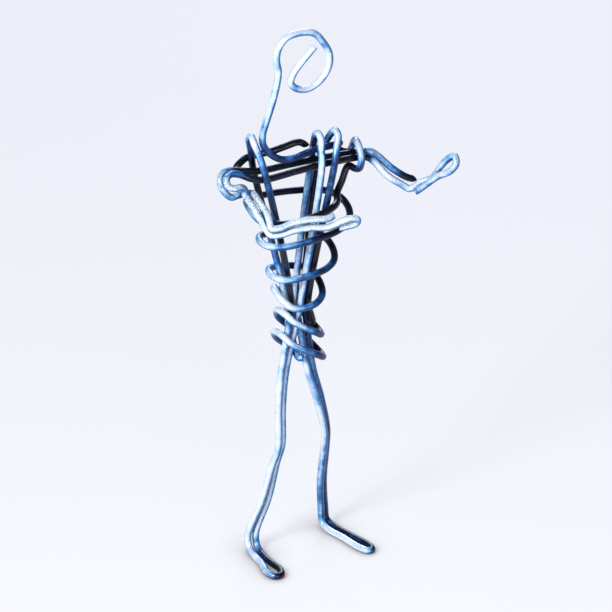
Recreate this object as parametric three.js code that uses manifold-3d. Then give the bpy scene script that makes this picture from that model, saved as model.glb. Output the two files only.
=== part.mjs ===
// A small standing figure, bent by hand from a few lengths of soft craft wire.
// It faces -Y, its left side is +X and it stands on the plane z = 0. Sizes are in millimetres.
import * as THREE from "three";
import { mergeVertices } from "three/addons/utils/BufferGeometryUtils.js";
import Module from "manifold-3d";

// The wire
const wireDiameter = 1.5;
const wireGap = 0.3; // clear space between wires that lie side by side
const soleFlat = 0.15; // depth of the flat that a foot stands on

// Heights above the ground
const ankleHeight = 4;
const kneeHeight = 25.8;
const hipHeight = 42.8;
const waistHeight = 58.3;
const shoulderHeight = 90.9; // middle of the two shoulder rails
const neckRise = 11.5; // from the rails up to the bend of the neck
const headRise = 24.2; // from the rails up to the middle of the head

// Head
const headWidth = 12.4; // at the middle of the wire
const headHeight = 13.5;
const headAcross = 1.3; // middle of the head, to the left of the trunk's middle line
const neckOut = 7.5; // the neck's bend, to the right of it

// Shoulders and trunk
const rightShoulderOut = 12.2; // from the trunk's middle line to the arm's bend
const leftShoulderOut = 15.4;
const railSpacing = 2.5; // front rail to back rail
const shoulderRingReach = 5.2; // how far the back rail's ring stands out past the right arm
const rightCrownRise = 9.4; // tops of the trunk wires above the rails
const middleCrownRise = 6.3;
const leftCrownRise = 6;
const rightTrunkOut = 8.8; // where the trunk wires cross the rails
const middleTrunkOut = 4.1;
const leftTrunkOut = 7.1;
const rightCrownOut = 10.8; // and where they are highest
const middleCrownOut = 4.9;
const leftCrownOut = 9;

// Arms, each from the shoulder's bend to the elbow and on to the tip of the hand
const rightUpperArmLength = 9.4;
const rightForearmLength = 18.4;
const leftUpperArmLength = 12.3;
const leftForearmLength = 13.6;
const handWidth = 2.3; // across a hand's loop

// Legs, given as distances from the trunk's middle line
const rightHipOut = 3.4;
const rightKneeOut = 4.1;
const rightAnkleOut = 8.4;
const leftHipOut = 2.9;
const leftKneeOut = 7.7;
const leftAnkleOut = 9.8;
const rightFootLength = 13.6;
const leftFootLength = 15.6;
const rightFootWidth = 2.9; // across a foot's loop at the toes
const leftFootWidth = 2.2;
const rightKneeBack = 0; // how far the knees and ankles are behind the trunk's middle
const leftKneeBack = 2;
const rightAnkleBack = 4.5;
const leftAnkleBack = 7.1;

// Binding round the trunk
const bindingTurns = 6;
const bindingTopDrop = 2.4; // from the rails down to the height where the turns are counted from
const bindingBottomRise = 3.1; // from the hips up to the last turn
const bindingEase = 0.45; // 0 gives evenly spaced turns, more crowds them towards the hips
const bindingUpperTurns = 3.05; // these are nearly level, and the turns below them are steep
const bindingTopTilt = 1.4; // each upper turn is this much lower on one side
const bindingBottomTilt = 4.8; // and each lower one
const bindingTopLow = 60; // degrees from the left side to where upper turns are lowest, lower ones have 0
const bindingTopSlack = 4.9; // sideways room between the first turn and the trunk wires
const bindingSlack = 0.1; // the same for the last turn
const bindingSlackFall = 2.8; // how soon the turns close in, as a power
const bindingDepthSlack = 0.85; // room to the front and back
const bindingSquareness = 0.72; // 1 makes each turn an ellipse, less brings it closer to a rectangle

// How finely the round wire is faceted
const wireSides = 8;
const wireStep = 2.6; // along a plain stretch
const bendStep = 1.2; // along a stretch with tight bends
const bindingSides = 6;
const stepsPerTurn = 24;
const domeSides = 8;
const domeRings = 6;

const wireRadius = wireDiameter / 2;
const wirePitch = wireDiameter + wireGap;
const soleHeight = wireRadius - soleFlat; // middle of a wire that stands on the ground
const waistPitch = wirePitch + wireGap / 2; // the bundle at the waist is a little looser
const trunkDepth = railSpacing / 2 + wirePitch; // trunk wires pass just outside the rails

const wasm = await Module();
wasm.setup();

const point = (x, y, z) => new THREE.Vector3(x, y, z);
const offset = (from, x, y, z) => from.clone().add(point(x, y, z));
const reach = (from, direction, length) => from.clone().add(direction.clone().setLength(length));
const between = (from, to, share) => from.clone().lerp(to, share);

// A closed geometry as a solid that can be cut and joined
function toSolid(geometry) {
  const bare = geometry.clone();
  bare.deleteAttribute("normal");
  bare.deleteAttribute("uv");
  const merged = mergeVertices(bare, 1e-4);
  const vertProperties = merged.attributes.position.array;
  const triVerts = new Uint32Array(merged.index.array);
  return new wasm.Manifold(new wasm.Mesh({ numProp: 3, vertProperties, triVerts }));
}

function toGeometry(solid) {
  const mesh = solid.getMesh();
  const geometry = new THREE.BufferGeometry();
  geometry.setAttribute("position", new THREE.BufferAttribute(mesh.vertProperties, 3));
  geometry.setIndex(new THREE.BufferAttribute(mesh.triVerts, 1));
  geometry.computeVertexNormals();
  return geometry;
}

// A round wire swept along a curve, with its ends cut square
function sweep(curve, steps, sides) {
  const corners = [];
  for (let i = 0; i < sides; i++) {
    const angle = ((i + 0.5) / sides) * 2 * Math.PI;
    corners.push(new THREE.Vector2(Math.cos(angle), Math.sin(angle)).multiplyScalar(wireRadius));
  }
  const section = new THREE.Shape(corners);
  return new THREE.ExtrudeGeometry(section, { steps, bevelEnabled: false, extrudePath: curve });
}

// The round end that a wire has at a bend, so that the next stretch can turn about its middle
function withDome(geometry, centre) {
  const dome = new THREE.SphereGeometry(wireRadius, domeSides, domeRings);
  dome.translate(centre.x, centre.y, centre.z);
  return toGeometry(toSolid(geometry).add(toSolid(dome)));
}

// Moves the end of a route back from the middle of a bend, clear of the round end there
function clearOfBend(bend, next) {
  return reach(bend, next.clone().sub(bend), wireRadius + wireGap);
}

// One stretch of wire through the points of a route. Each end is "cut" square, is the "round" end
// at a bend, or stands "clear" of a bend that the stretch turns about.
function wire(route, start, end, step = wireStep) {
  const points = route.map((p) => p.clone());
  const last = points.length - 1;
  if (start === "clear") points[0] = clearOfBend(points[0], points[1]);
  if (end === "clear") points[last] = clearOfBend(points[last], points[last - 1]);
  const curve = new THREE.CatmullRomCurve3(points, false, "centripetal");
  const steps = Math.max(2, Math.round(curve.getLength() / step));
  let geometry = sweep(curve, steps, wireSides);
  if (start === "round") geometry = withDome(geometry, points[0]);
  if (end === "round") geometry = withDome(geometry, points[last]);
  return geometry;
}

// One of two strands that run side by side: the middle line moved half a pitch along each lean
function strand(middles, leans, side) {
  const half = (side * wirePitch) / 2;
  return middles.map((middle, i) => reach(middle, leans[i], half));
}

const figure = new THREE.Group();
const body = new THREE.Group();
figure.add(body);
const joints = [];

function addWire(name, geometry) {
  const finish = new THREE.MeshStandardMaterial({ color: 0xa9b2bc, roughness: 0.42, metalness: 0.95 });
  const mesh = new THREE.Mesh(geometry, finish);
  mesh.name = name;
  body.add(mesh);
}

function addJoint(name, pivot, axis) {
  joints.push({ name, pivot: pivot.clone(), axis: axis.clone().normalize() });
}

const alongX = point(1, 0, 0);
const alongY = point(0, 1, 0);

// Head: up from the neck, round the outline and back inside it to the cut end
const neckBend = point(-neckOut, 0, shoulderHeight + neckRise);
const headMiddle = point(headAcross, 0, shoulderHeight + headRise);
const headShape = [
  [-0.93, -0.2], [-1, 0.25], [-0.93, 0.62], [-0.66, 0.92], [-0.2, 1], [0.4, 0.87], [0.8, 0.42], [1, 0.02],
  [0.98, -0.38], [0.7, -0.78], [0.2, -1], [-0.25, -0.9], [-0.46, -0.66], [-0.36, -0.36], [0.45, 0.42],
];
const headOutline = headShape.map(([across, up]) => {
  return offset(headMiddle, (across * headWidth) / 2, 0, (up * headHeight) / 2);
});
const neckTop = between(neckBend, headOutline[0], 0.52).add(point(0.4, 0, 0));
addWire("head_wire", wire([neckBend, neckTop, ...headOutline], "clear", "cut", bendStep));
addJoint("neck_bend", neckBend, alongX);

// Neck wire: from the neck's bend down to the rails and along the top of them
const railTop = shoulderHeight + wirePitch + wireGap; // middle of a wire that lies on the rails
const neckRunEnd = point(leftTrunkOut + 1.2, 0.1, railTop + 0.6);
const neckRoute = [
  neckBend,
  offset(neckBend, -0.7, 0, -2.4),
  point(-neckOut - 0.5, 0, railTop + 4.6),
  point(-neckOut + 1.1, -0.1, railTop + 2.2),
  point(-neckOut + 3.5, -0.3, railTop + 0.5),
  point(middleTrunkOut - 5.7, -0.4, railTop + 0.1),
  point(middleTrunkOut - 2.7, -0.3, railTop + 0.4),
  point(middleTrunkOut, 0, railTop + 0.7),
  neckRunEnd,
];
addWire("neck_wire", wire(neckRoute, "round", "cut"));

// Shoulder rails: two wires that run across the shoulders and become the strands of both arms
const rightShoulder = point(-rightShoulderOut, -1.7, shoulderHeight - 3.1);
const leftShoulder = point(leftShoulderOut, 0, shoulderHeight - 1.2);
const railLean = railSpacing / 2;
const rightArmOuterBend = reach(rightShoulder, alongX, -wirePitch / 2);
const rightArmInnerBend = reach(rightShoulder, alongX, wirePitch / 2);
const leftArmFrontBend = offset(leftShoulder, 0, -railLean, 0);
const leftArmBackBend = offset(leftShoulder, 0, railLean, 0);
const ringEnd = -rightShoulderOut - shoulderRingReach;
const frontRail = [
  leftArmFrontBend,
  point(leftTrunkOut, -railLean, shoulderHeight - 0.4),
  point(-rightTrunkOut, -railLean, shoulderHeight - 0.6),
  point(-rightShoulderOut + 0.9, -railLean + 0.4, shoulderHeight + 0.1),
  point(ringEnd + 4, 0.1, shoulderHeight + 1.1),
  point(ringEnd + 1.8, 0.2, shoulderHeight + 1.7),
  point(ringEnd + 0.4, -0.6, shoulderHeight + 1.3),
  point(ringEnd + 0.3, -1.6, shoulderHeight + 0.1),
  point(ringEnd + 1.5, -2.1, shoulderHeight - 0.5),
  point(ringEnd + 3, -1.9, shoulderHeight - 0.7),
  offset(rightArmOuterBend, -0.2, 0.1, 1.5),
  rightArmOuterBend,
];
addWire("front_rail", wire(frontRail, "round", "round", bendStep));

const backRail = [
  leftArmBackBend,
  point(leftTrunkOut, railLean, shoulderHeight - 0.3),
  point(-rightTrunkOut, railLean, shoulderHeight + 0.3),
  point(ringEnd + 4.8, 1.9, shoulderHeight + 1),
  point(ringEnd + 2.7, 2, shoulderHeight + 1.5),
  point(ringEnd + 1, 1.9, shoulderHeight + 1.4),
  point(ringEnd - 0.2, 1, shoulderHeight + 0.1),
  point(ringEnd + 0.3, 0.6, shoulderHeight - 1.9),
  point(ringEnd + 2.1, 0.5, shoulderHeight - 3.9),
  point(ringEnd + 3.7, 0.8, shoulderHeight - 4),
  offset(rightArmInnerBend, -0.9, 2.2, -0.7),
  offset(rightArmInnerBend, 0, 1.1, -0.3),
  rightArmInnerBend,
];
addWire("back_rail", wire(backRail, "round", "round", bendStep));

// Tie at the right shoulder: a short wire hooked over the end of the rails and laid along them
const tieCrest = shoulderHeight + wirePitch + 2.5;
const tieBehind = trunkDepth + wirePitch; // clear of the trunk wire that comes down the back
const rightTie = [
  point(ringEnd + 5.1, tieBehind - 0.7, shoulderHeight - 0.9),
  point(ringEnd + 5.2, tieBehind - 0.8, shoulderHeight + 0.7),
  point(ringEnd + 6.4, tieBehind - 0.5, shoulderHeight + 1.5),
  point(-rightTrunkOut - 0.6, tieBehind, shoulderHeight + 1.9),
  point(-rightTrunkOut + 1.6, 3.7, tieCrest - 1.6),
  point(-rightTrunkOut + 3.8, 2.1, tieCrest - 0.7),
  point(middleTrunkOut - 5.9, 1.6, tieCrest),
  point(middleTrunkOut - 3.2, 1.3, tieCrest + 0.4),
  point(middleTrunkOut - 1.1, 1.6, tieCrest - 1),
];
addWire("right_shoulder_tie", wire(rightTie, "cut", "cut", bendStep));

// Trunk wires: each goes up the front, over both rails and down the back, and the three meet
// in a bundle of two rows at the waist
const bundle = (column, row) => point(column * waistPitch, (row * waistPitch) / 2, waistHeight);

function trunkRoute(column, frontAcross, backAcross, crownAcross, crownRise) {
  const crown = point(crownAcross, 0, shoulderHeight + crownRise);
  const side = (row, crossing) => [
    point(crossing, row * trunkDepth, shoulderHeight),
    between(point(crossing, row * trunkDepth, shoulderHeight), crown, 0.55).setY(row * trunkDepth * 0.68),
    point(crownAcross, row * trunkDepth * 0.36, shoulderHeight + crownRise * 0.9),
  ];
  const front = [bundle(column, -1), ...side(-1, frontAcross)];
  const back = [bundle(column, 1), ...side(1, backAcross)];
  return [...front, crown, ...back.reverse()];
}

const belowWaist = 0.3; // share of the way to the hips over which the bundle stays together
const rightHip = point(-rightHipOut, -0.1, hipHeight);
const leftHip = point(leftHipOut, 0, hipHeight);
const rightHipLean = point(0.88, 0.47, 0);
const leftHipLean = point(0.9, 0.44, 0);
const rightHipOuter = reach(rightHip, rightHipLean, -wirePitch / 2);
const rightHipInner = reach(rightHip, rightHipLean, wirePitch / 2);
const leftHipInner = reach(leftHip, leftHipLean, -wirePitch / 2);
const leftHipOuter = reach(leftHip, leftHipLean, wirePitch / 2);

// The right trunk wire starts in the right leg and ends in a small hook between the legs
const hookTail = [
  point(-0.75 * wirePitch, 0.7 * wirePitch, waistHeight - 6),
  point(-0.25 * wirePitch, 0.68 * wirePitch, hipHeight + 6.4),
  point(-0.15 * wirePitch, 0.2, hipHeight + 4),
  point(-0.1 * wirePitch, -1, hipHeight + 3.4),
  point(0.05 * wirePitch, -2.2, hipHeight + 3.9),
];
const rightTrunkUp = [rightHipOuter, between(bundle(-1, -1), rightHipOuter, belowWaist)];
const rightTrunkOver = trunkRoute(-1, -rightTrunkOut, -rightTrunkOut, -rightCrownOut, rightCrownRise);
const rightTrunk = [...rightTrunkUp, ...rightTrunkOver, ...hookTail];
addWire("right_trunk_wire", wire(rightTrunk, "round", "cut"));

// The middle one joins the right leg to the left leg
const middleTrunkUp = [rightHipInner, between(bundle(0, -1), rightHipInner, belowWaist)];
const middleTrunkDown = [between(bundle(0, 1), leftHipInner, belowWaist), leftHipInner];
const middleTrunkOver = trunkRoute(0, middleTrunkOut, middleTrunkOut + 0.9, middleCrownOut, middleCrownRise);
const middleTrunk = [...middleTrunkUp, ...middleTrunkOver, ...middleTrunkDown];
addWire("middle_trunk_wire", wire(middleTrunk, "round", "round"));

// The left one ends in a short tail at the waist and comes down the back to the left leg
const waistTail = [
  point(1.75 * wirePitch, -0.6 * wirePitch, waistHeight - 4.8),
  point(1.4 * wirePitch, -0.6 * wirePitch, waistHeight - 2.4),
];
const leftTrunkDown = [between(bundle(1, 1), leftHipOuter, belowWaist), leftHipOuter];
const leftTrunkOver = trunkRoute(1, leftTrunkOut, leftTrunkOut, leftCrownOut, leftCrownRise);
const leftTrunk = [...waistTail, ...leftTrunkOver, ...leftTrunkDown];
addWire("left_trunk_wire", wire(leftTrunk, "cut", "round"));

// Binding: hooked round the rails at the left shoulder, then wound down the trunk in turns that
// close in from the shoulders to the hips
const bindingTop = shoulderHeight - bindingTopDrop;
const bindingBottom = hipHeight + bindingBottomRise;
const bindingAcross = 1.9; // a turn at the rails would be this far off the trunk's middle line

// Half of the trunk's width and depth at a height, measured to the middle of its wires: it spreads
// from the waist up to the rails, and again down to the hips
const { clamp, degToRad, lerp, smoothstep } = THREE.MathUtils;
const spread = (height) => clamp((height - waistHeight) / (shoulderHeight - waistHeight), 0, 1);
const straddle = (height) => clamp((waistHeight - height) / (waistHeight - hipHeight), 0, 1);
const hipHalfWidth = (rightHipOut + leftHipOut + wirePitch) / 2;

function trunkHalfWidth(height) {
  const above = (rightTrunkOut - waistPitch) * spread(height);
  const below = (hipHalfWidth - waistPitch) * straddle(height);
  return waistPitch + above + below;
}

// The middle of a turn: over the trunk's own at the waist, and below it midway between the legs
const legsMiddle = (leftHipOut - rightHipOut) / 2;
const turnMiddle = (height) => bindingAcross * spread(height) + legsMiddle * straddle(height);
const trunkHalfDepth = (height) => lerp(waistPitch / 2, trunkDepth, spread(height));
const squared = (ratio) => Math.sign(ratio) * Math.abs(ratio) ** bindingSquareness;

function bindingPoint(turn) {
  const share = turn / bindingTurns;
  const angle = turn * 2 * Math.PI;
  const fall = share * (1 + bindingEase) - bindingEase * share * share;
  const steep = smoothstep(turn, bindingUpperTurns, bindingUpperTurns + 0.8);
  const tilt = lerp(bindingTopTilt, bindingBottomTilt, steep);
  const lowest = degToRad(bindingTopLow) * (1 - steep);
  const height = bindingTop + (bindingBottom - bindingTop) * fall - tilt * Math.cos(angle - lowest);
  const slack = bindingSlack + (bindingTopSlack - bindingSlack) * (1 - share) ** bindingSlackFall;
  const half = trunkHalfWidth(height) + wirePitch + slack;
  const depth = trunkHalfDepth(height) + wirePitch + bindingDepthSlack;
  const middle = turnMiddle(height);
  return point(middle + half * squared(Math.cos(angle)), -depth * squared(Math.sin(angle)), height);
}

const frontPass = shoulderHeight - 9.7; // height of the half turn that runs in from the left shoulder
const passDepth = trunkHalfDepth(frontPass) + wirePitch + bindingDepthSlack;
const tieAcross = leftShoulderOut - 2; // middle of the hook round both rails
const tieBack = railLean + wirePitch; // just behind the back rail
const tieTop = shoulderHeight + wirePitch + 0.5;
const tieLow = shoulderHeight - wirePitch - 1.3;
const bindingLead = [
  offset(neckRunEnd, wireGap, 0, 0),
  offset(neckRunEnd, wireGap + 0.9, 0.1, 0),
  offset(neckRunEnd, wireGap + 1.8, 0.8, -0.3),
  point(tieAcross - 2.7, tieBack, shoulderHeight + 0.6),
  point(tieAcross - 1, tieBack + 0.3, shoulderHeight - 1.2),
  point(tieAcross + 0.6, tieBack + 0.2, shoulderHeight - 1.5),
  point(tieAcross + 1.1, tieBack, shoulderHeight - 0.2),
  point(tieAcross + 0.9, railLean + 0.3, tieTop - 0.5),
  point(tieAcross + 0.5, 0, tieTop),
  point(tieAcross + 0.2, -railLean - 0.7, tieTop - 0.8),
  point(tieAcross, -tieBack - 0.1, shoulderHeight - 0.1),
  point(tieAcross - 0.1, -tieBack, shoulderHeight - 1.6),
  point(tieAcross - 0.1, -tieBack + 0.8, tieLow + 0.2),
  point(tieAcross - 0.4, -tieBack + 2.1, tieLow - 0.3),
  point(tieAcross - 1.3, -tieBack + 3.3, tieLow),
  point(leftTrunkOut + 3.2, -tieBack + 2.8, frontPass + 3.7),
  point(leftTrunkOut + 1.6, -tieBack + 1.9, frontPass + 1.7),
  point(leftTrunkOut + 0.5, -tieBack - 0.2, frontPass + 0.9),
  point(leftTrunkOut - 1.3, -passDepth + 0.3, frontPass + 0.7),
  point(3, -passDepth, frontPass),
  point(-2, -passDepth, frontPass - 0.5),
  point(-7, -passDepth, frontPass),
  point(-rightTrunkOut - 2, -passDepth + 1.3, frontPass + 1.2),
];
const bindingRoute = [...bindingLead];
for (let step = stepsPerTurn / 2; step <= (bindingTurns - 0.25) * stepsPerTurn; step += 2) {
  bindingRoute.push(bindingPoint(step / stepsPerTurn));
}
const bindingCurve = new THREE.CatmullRomCurve3(bindingRoute, false, "centripetal");
bindingCurve.arcLengthDivisions = 40 * bindingRoute.length;
const bindingSteps = Math.round((bindingTurns + 3) * stepsPerTurn);
addWire("torso_binding", sweep(bindingCurve, bindingSteps, bindingSides));

// The clear space between the binding and itself, measured on points along it
function leastGap(curve, count) {
  const points = curve.getSpacedPoints(count);
  const apart = Math.ceil((3 * wireDiameter * count) / curve.getLength());
  let least = Infinity;
  for (let i = 0; i < points.length; i++) {
    for (let j = i + apart; j < points.length; j++) least = Math.min(least, points[i].distanceTo(points[j]));
  }
  return least - wireDiameter;
}
console.log("torso_binding least gap to itself", leastGap(bindingCurve, 8 * bindingSteps).toFixed(2), "mm");

// Right arm: two strands forward and down to the elbow, then across the front of the trunk
const rightElbow = reach(rightShoulder, point(0.1, -0.83, -0.55), rightUpperArmLength);
const rightElbowLean = point(0, -0.3, 0.95);
const rightUpperArm = [
  rightShoulder,
  between(rightShoulder, rightElbow, 0.35).add(point(-0.3, -0.3, 0.9)),
  between(rightShoulder, rightElbow, 0.66).add(point(-0.2, -0.2, 0.9)),
  between(rightShoulder, rightElbow, 0.86).add(point(-0.1, -0.1, 0.4)),
  rightElbow,
];
const rightUpperArmLeans = [
  alongX,
  point(1, -0.05, 0.15),
  point(0.85, -0.15, 0.5),
  point(0.38, -0.28, 0.88),
  rightElbowLean,
];
const rightOuter = strand(rightUpperArm, rightUpperArmLeans, -1);
const rightInner = strand(rightUpperArm, rightUpperArmLeans, 1);
addWire("right_upper_arm_outer", wire(rightOuter, "clear", "round", bendStep));
addWire("right_upper_arm_inner", wire(rightInner, "clear", "round", bendStep));
addJoint("right_shoulder_bend", rightShoulder, alongX);
addJoint("right_elbow_bend", rightElbow, rightElbowLean);

// The lower strand makes the hand, a flat loop whose end is tucked back under the wrist
const rightHand = reach(rightElbow, point(0.97, -0.25, 0.01), rightForearmLength);
const rightForearm = [
  rightElbow,
  between(rightElbow, rightHand, 0.1).add(point(0, -0.2, -0.2)),
  between(rightElbow, rightHand, 0.25).add(point(0, 0, 0.4)),
  between(rightElbow, rightHand, 0.45).add(point(0, 0, 0.7)),
  between(rightElbow, rightHand, 0.66).add(point(0, 0, 0.4)),
];
const straightUp = point(0, 0, 1);
const rightForearmLeans = [rightElbowLean, point(0, -0.2, 1), straightUp, point(0, 0.1, 1), point(0, 0.3, 1)];
const handHalf = Math.max(handWidth, wirePitch + wireGap) / 2;
const rightHandLean = point(-0.1, -0.4, 0.91);
const acrossHand = (middle, share) => reach(middle, rightHandLean, share * handHalf);
const rightHandLoop = [
  acrossHand(between(rightElbow, rightHand, 0.9), 1),
  acrossHand(rightHand, 0.45),
  acrossHand(offset(rightHand, -0.1, 0, 0), -0.6),
  acrossHand(between(rightElbow, rightHand, 0.92), -1.1),
  acrossHand(between(rightElbow, rightHand, 0.8), -1.35),
];
const rightLowerStrand = strand(rightForearm, rightForearmLeans, -1);
addWire("right_forearm_hand", wire([...rightLowerStrand, ...rightHandLoop], "clear", "cut", bendStep));
const rightUpperStrand = strand(rightForearm, rightForearmLeans, 1);
const rightTailEnd = between(rightElbow, rightHand, 0.76).add(point(0, 0.65 * wirePitch, 0.75 * wirePitch));
addWire("right_forearm_tail", wire([...rightUpperStrand, rightTailEnd], "clear", "cut"));

// Left arm: two strands out and down to the elbow, where the back one ends
const leftElbow = reach(leftArmFrontBend, point(0.72, -0.34, -0.61), leftUpperArmLength);
const leftUpperLean = point(0.72, 0.19, 0.66);
const leftArmSag = point(-0.4, 0, -0.6);
const alongLeftArm = (share) => between(leftArmFrontBend, leftElbow, share).add(leftArmSag);
const leftUpperArmFront = [
  leftArmFrontBend,
  alongLeftArm(0.14).add(point(0.6, 0.2, 0.7)),
  alongLeftArm(0.5),
  alongLeftArm(0.8).add(point(0.2, 0, -0.1)),
  offset(leftElbow, -0.7, 0.3, -0.1),
  leftElbow,
];
addWire("left_upper_arm_front", wire(leftUpperArmFront, "clear", "round"));
const leftUpperArmBack = [
  leftArmBackBend,
  offset(leftArmBackBend, 2.3, -0.6, -0.2),
  reach(alongLeftArm(0.5), leftUpperLean, wirePitch),
  reach(alongLeftArm(0.78), leftUpperLean, wirePitch + 0.1),
  reach(leftElbow, leftUpperLean, wirePitch + wireGap).add(point(-0.4, 0.5, -0.1)),
];
addWire("left_upper_arm_back", wire(leftUpperArmBack, "clear", "cut"));
addJoint("left_shoulder_bend", leftShoulder, alongY);

// The front strand goes on to the hand, a raised loop whose end comes back to the elbow
const leftForearmLine = point(0.42, -0.59, 0.69);
const leftHand = reach(leftElbow, leftForearmLine, leftForearmLength);
const leftHandAcross = point(-0.46, -0.69, -0.26);
const leftReturn = wirePitch + wireGap;
const leftForearm = [
  leftElbow,
  between(leftElbow, leftHand, 0.18),
  between(leftElbow, leftHand, 0.42).add(point(0.6, 0, -0.6)),
  between(leftElbow, leftHand, 0.66).add(point(-0.2, 0, 0.2)),
  between(leftElbow, leftHand, 0.86).add(point(-0.2, 0.2, 0.6)),
  offset(leftHand, -0.1, 0.1, 0.4),
  reach(leftHand, leftHandAcross, 0.65 * leftReturn).add(point(0.4, 0, -0.3)),
  reach(between(leftElbow, leftHand, 0.88), leftHandAcross, 1.1 * leftReturn).add(point(0.5, 0, -0.4)),
  reach(between(leftElbow, leftHand, 0.6), leftHandAcross, 0.95 * leftReturn),
  reach(between(leftElbow, leftHand, 0.36), leftHandAcross, 0.95 * leftReturn),
  reach(between(leftElbow, leftHand, 0.1), leftHandAcross, 0.95 * leftReturn),
];
addWire("left_forearm_hand", wire(leftForearm, "clear", "cut", bendStep));
addJoint("left_elbow_bend", leftElbow, point(-0.62, -0.74, -0.26));

// Legs: two strands each, bent at the hip, knee and ankle, with a flat loop for the foot
function addLeg(side, leg) {
  const { hip, knee, ankle, footLine, footLength, footWidth, leans, thighBow, shinBow } = leg;
  const [hipLean, kneeLean, ankleLean] = leans;
  const thigh = [hip, between(hip, knee, 0.5).add(thighBow), knee];
  const thighLeans = [hipLean, between(hipLean, kneeLean, 0.5), kneeLean];
  const shinLean = (share) => between(kneeLean, ankleLean, share);
  const shin = [knee, between(knee, ankle, 0.2), between(knee, ankle, 0.62).add(shinBow), ankle];
  const shinLeans = [kneeLean, shinLean(0.2), shinLean(0.62), ankleLean];
  const heel = point(ankle.x, ankle.y, soleHeight);
  const toe = reach(heel, footLine, footLength);
  const across = point(-footLine.y, footLine.x, 0).normalize();
  const widest = footWidth / wirePitch; // as a share of the strands' own pitch
  const sole = (share, lift) => offset(between(heel, toe, share), 0, 0, lift);
  const footMiddle = [ankle, sole(0.03, 0.8), sole(0.17, 0), sole(0.5, 0), sole(0.82, 0)];
  const footLeans = [ankleLean, ankleLean, across, across, across];
  const outward = strand(footMiddle, footLeans, -1);
  const inward = strand(footMiddle, footLeans, 1);
  for (const line of [outward, inward]) {
    const sign = line === outward ? -1 : 1;
    line[4] = reach(sole(0.82, 0), across, (sign * widest * wirePitch) / 2);
  }
  const toeSide = (sign) => reach(sole(0.97, 0), across, sign * 0.3 * footWidth);
  const tip = [toeSide(-1), toe, toeSide(1)];
  const names = side === "right" ? ["outer", "inner"] : ["inner", "outer"];
  [-1, 1].forEach((sign, i) => {
    addWire(`${side}_thigh_${names[i]}`, wire(strand(thigh, thighLeans, sign), "clear", "round"));
    addWire(`${side}_shin_${names[i]}`, wire(strand(shin, shinLeans, sign), "clear", "round"));
  });
  const loop = wire([...outward, ...tip, ...inward.reverse()], "clear", "clear", bendStep);
  addWire(`${side}_foot`, standing(loop, toe));
  addJoint(`${side}_hip_bend`, hip, hipLean);
  addJoint(`${side}_knee_bend`, knee, kneeLean);
  addJoint(`${side}_ankle_bend`, ankle, ankleLean);
}

// Cuts away what is below the ground, which leaves the flat that the foot stands on
function standing(geometry, near) {
  const size = 4 * (rightFootLength + leftFootLength);
  const ground = new THREE.BoxGeometry(size, size, wireDiameter);
  ground.translate(near.x, near.y, -wireDiameter / 2);
  return toGeometry(toSolid(geometry).subtract(toSolid(ground)));
}

addLeg("right", {
  hip: rightHip,
  knee: point(-rightKneeOut, rightKneeBack, kneeHeight),
  ankle: point(-rightAnkleOut, rightAnkleBack, ankleHeight),
  footLine: point(-0.07, -1, 0),
  footLength: rightFootLength,
  footWidth: rightFootWidth,
  leans: [rightHipLean, point(0.8, 0.6, 0), point(1, -0.03, 0)],
  thighBow: point(-0.2, 0.2, 0),
  shinBow: point(0.6, 0, 0.2),
});
addLeg("left", {
  hip: leftHip,
  knee: point(leftKneeOut, leftKneeBack, kneeHeight),
  ankle: point(leftAnkleOut, leftAnkleBack, ankleHeight),
  footLine: point(0.21, -0.98, 0),
  footLength: leftFootLength,
  footWidth: leftFootWidth,
  leans: [leftHipLean, point(0.68, 0.73, 0), point(0.8, 0.6, 0)],
  thighBow: point(0.3, 0, 0),
  shinBow: point(-0.5, 0, 0),
});

// The origin is the middle of the figure's box, on the ground
const box = new THREE.Box3().setFromObject(body);
const middle = box.getCenter(new THREE.Vector3());
body.position.set(-middle.x, -middle.y, -box.min.z);
for (const joint of joints) joint.pivot.add(body.position);
figure.userData.joints = joints;

export default figure;
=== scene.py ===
import math
import bpy
import numpy as np
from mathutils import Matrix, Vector


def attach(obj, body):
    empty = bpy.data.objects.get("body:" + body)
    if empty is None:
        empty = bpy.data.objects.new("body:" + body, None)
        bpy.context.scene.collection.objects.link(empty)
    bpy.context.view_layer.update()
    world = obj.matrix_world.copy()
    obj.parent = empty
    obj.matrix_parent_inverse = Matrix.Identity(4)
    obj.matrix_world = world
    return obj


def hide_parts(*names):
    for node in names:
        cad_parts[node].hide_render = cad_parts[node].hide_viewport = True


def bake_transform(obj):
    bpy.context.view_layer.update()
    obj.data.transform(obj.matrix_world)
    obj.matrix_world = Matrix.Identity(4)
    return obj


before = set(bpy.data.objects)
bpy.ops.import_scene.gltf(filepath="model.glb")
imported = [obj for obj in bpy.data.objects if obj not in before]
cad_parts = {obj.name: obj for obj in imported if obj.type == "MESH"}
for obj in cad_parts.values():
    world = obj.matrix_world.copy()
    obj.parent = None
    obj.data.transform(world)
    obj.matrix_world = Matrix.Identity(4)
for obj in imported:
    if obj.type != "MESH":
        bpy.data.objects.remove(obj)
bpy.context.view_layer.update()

mm = 0.001


def hexColour(text):  # sRGB hex to linear RGBA
    parts = [int(text[i:i + 2], 16) / 255 for i in (1, 3, 5)]
    return tuple(c / 12.92 if c <= 0.04045 else ((c + 0.055) / 1.055) ** 2.4 for c in parts) + (1.0,)


def addNode(tree, kind, inputs=None, **settings):  # a node with its settings and its links
    node = tree.nodes.new(kind)
    for name, value in settings.items():
        setattr(node, name, value)
    for socket, value in (inputs or {}).items():
        if isinstance(value, bpy.types.NodeSocket):
            tree.links.new(value, node.inputs[socket])
        else:
            node.inputs[socket].default_value = value
    return node


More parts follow.
